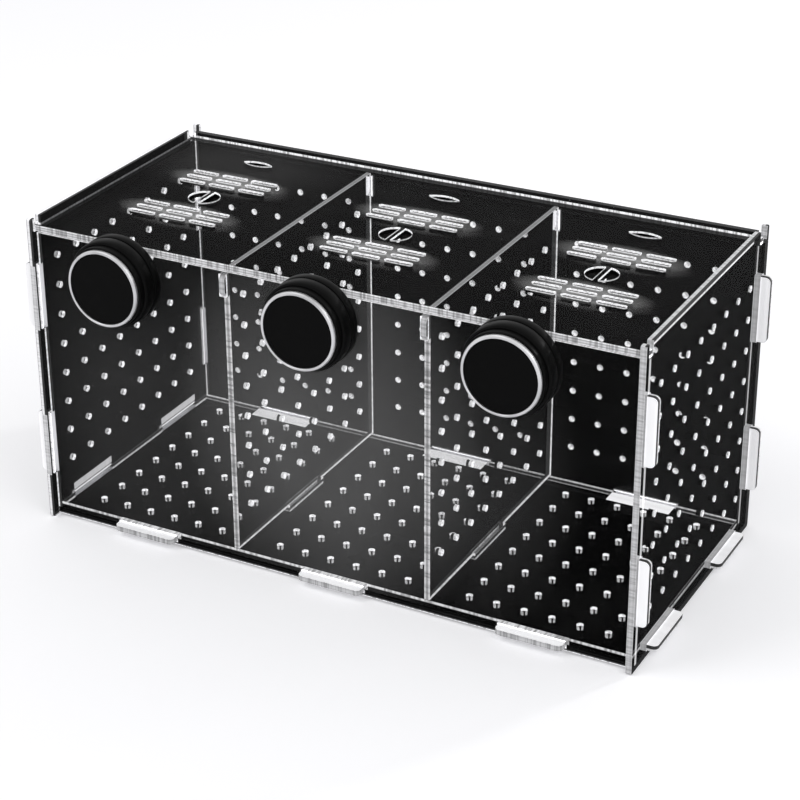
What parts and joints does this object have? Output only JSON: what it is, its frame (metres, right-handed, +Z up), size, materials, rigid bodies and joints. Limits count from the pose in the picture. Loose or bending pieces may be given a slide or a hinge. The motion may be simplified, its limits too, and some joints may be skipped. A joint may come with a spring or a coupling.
{
  "type": "fish breeding box",
  "caption": "Long smoked acrylic box with three perforated chambers, a lift-off slotted lid and three round magnet pairs on the front wall that clamp it to tank glass.",
  "frame": {"origin": "centre of the bounding box, at the lower edges of the side walls", "axes": "+X along the row of chambers, +Y from the magnet wall to the back wall, +Z up"},
  "size_m": [0.3094, 0.1588, 0.1545],
  "materials": {
    "smoked_acrylic": "polished, smoke-grey and see-through",
    "black_plastic": "satin black",
    "bright_aluminium": "bright turned",
    "black_rubber": "matt",
    "white_adhesive": "foam tape",
    "magnet_nickel": "nickel plated"
  },
  "bodies": {
    "box": {"left_wall": "smoked_acrylic", "right_wall": "smoked_acrylic", "front_wall": "smoked_acrylic", "back_wall": "smoked_acrylic", "floor_panel": "smoked_acrylic", "divider_1": "smoked_acrylic", "divider_2": "smoked_acrylic", "adhesive_pad_1": "white_adhesive", "adhesive_pad_2": "white_adhesive", "adhesive_pad_3": "white_adhesive", "magnet_base_1": "black_plastic", "magnet_base_2": "black_plastic", "magnet_base_3": "black_plastic", "base_magnet_1": "magnet_nickel", "base_magnet_2": "magnet_nickel", "base_magnet_3": "magnet_nickel", "base_rubber_1": "black_rubber", "base_rubber_2": "black_rubber", "base_rubber_3": "black_rubber"},
    "lid": {"lid": "smoked_acrylic"},
    "cap_left": {"cap_rubber_1": "black_rubber", "cap_magnet_1": "magnet_nickel", "magnet_cap_1": "black_plastic", "cap_bezel_1": "bright_aluminium", "cap_face_1": "black_plastic"},
    "cap_middle": {"cap_rubber_2": "black_rubber", "cap_magnet_2": "magnet_nickel", "magnet_cap_2": "black_plastic", "cap_bezel_2": "bright_aluminium", "cap_face_2": "black_plastic"},
    "cap_right": {"cap_rubber_3": "black_rubber", "cap_magnet_3": "magnet_nickel", "magnet_cap_3": "black_plastic", "cap_bezel_3": "bright_aluminium", "cap_face_3": "black_plastic"}
  },
  "joints": [
    {"name": "lid_lift", "type": "slide", "parent": "box", "child": "lid", "axis": [0, 0, 1], "range_m": [0, 0.04]},
    {"name": "cap_left_pull", "type": "slide", "parent": "box", "child": "cap_left", "axis": [0, -1, 0], "range_m": [0, 0.025]},
    {"name": "cap_middle_pull", "type": "slide", "parent": "box", "child": "cap_middle", "axis": [0, -1, 0], "range_m": [0, 0.025]},
    {"name": "cap_right_pull", "type": "slide", "parent": "box", "child": "cap_right", "axis": [0, -1, 0], "range_m": [0, 0.025]}
  ]
}
